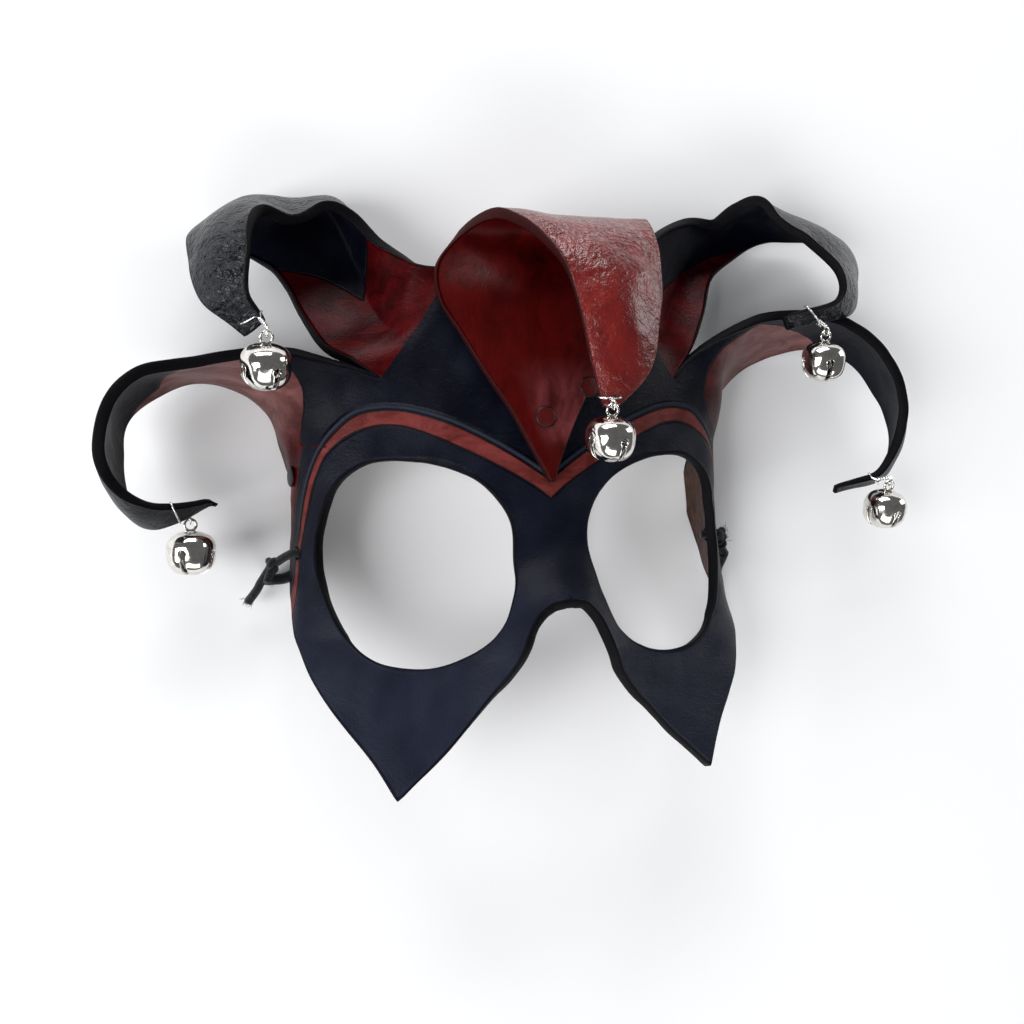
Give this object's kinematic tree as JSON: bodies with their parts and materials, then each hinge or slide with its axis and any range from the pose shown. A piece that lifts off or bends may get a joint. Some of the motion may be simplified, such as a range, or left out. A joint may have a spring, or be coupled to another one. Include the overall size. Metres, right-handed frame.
{
  "type": "leather jester mask",
  "caption": "Half mask of black and red leather with rolled horns that carry round bells, for tying over the eyes.",
  "frame": {"origin": "middle of the box that the mask fills, on the surface it lies on", "axes": "+X to the viewer's right across the face, +Y up the face to the horns, +Z out of the face"},
  "size_m": [0.2431, 0.1657, 0.0647],
  "materials": {
    "black_leather": "dyed navy black, waxed, fine brushed grain on the smooth side",
    "red_leather": "oxblood acrylic finish, glossy and pebbled on the rough side",
    "painted_rivet": "low dome painted with the leather",
    "nickel": "polished nickel plate",
    "silver_wire": "bright thin wire",
    "suede_cord": "soft black suede-like cord with frayed ends"
  },
  "bodies": {
    "root": {"leather_mask": "black_leather", "centre_horn": "red_leather", "lower_centre_rivet": "painted_rivet", "upper_centre_rivet": "painted_rivet", "left_temple_rivet": "painted_rivet", "right_temple_rivet": "painted_rivet", "upper_left_bell": "nickel", "upper_left_pellet": "nickel", "upper_left_wire": "silver_wire", "lower_left_bell": "nickel", "lower_left_pellet": "nickel", "lower_left_wire": "silver_wire", "centre_bell": "nickel", "centre_pellet": "nickel", "centre_wire": "silver_wire", "upper_right_bell": "nickel", "upper_right_pellet": "nickel", "upper_right_wire": "silver_wire", "lower_right_bell": "nickel", "lower_right_pellet": "nickel", "lower_right_wire": "silver_wire", "left_tie_end": "suede_cord", "right_tie_end": "suede_cord", "head_cord_left": "suede_cord", "head_cord_right": "suede_cord", "head_cord_coil": "suede_cord"}
  },
  "joints": []
}
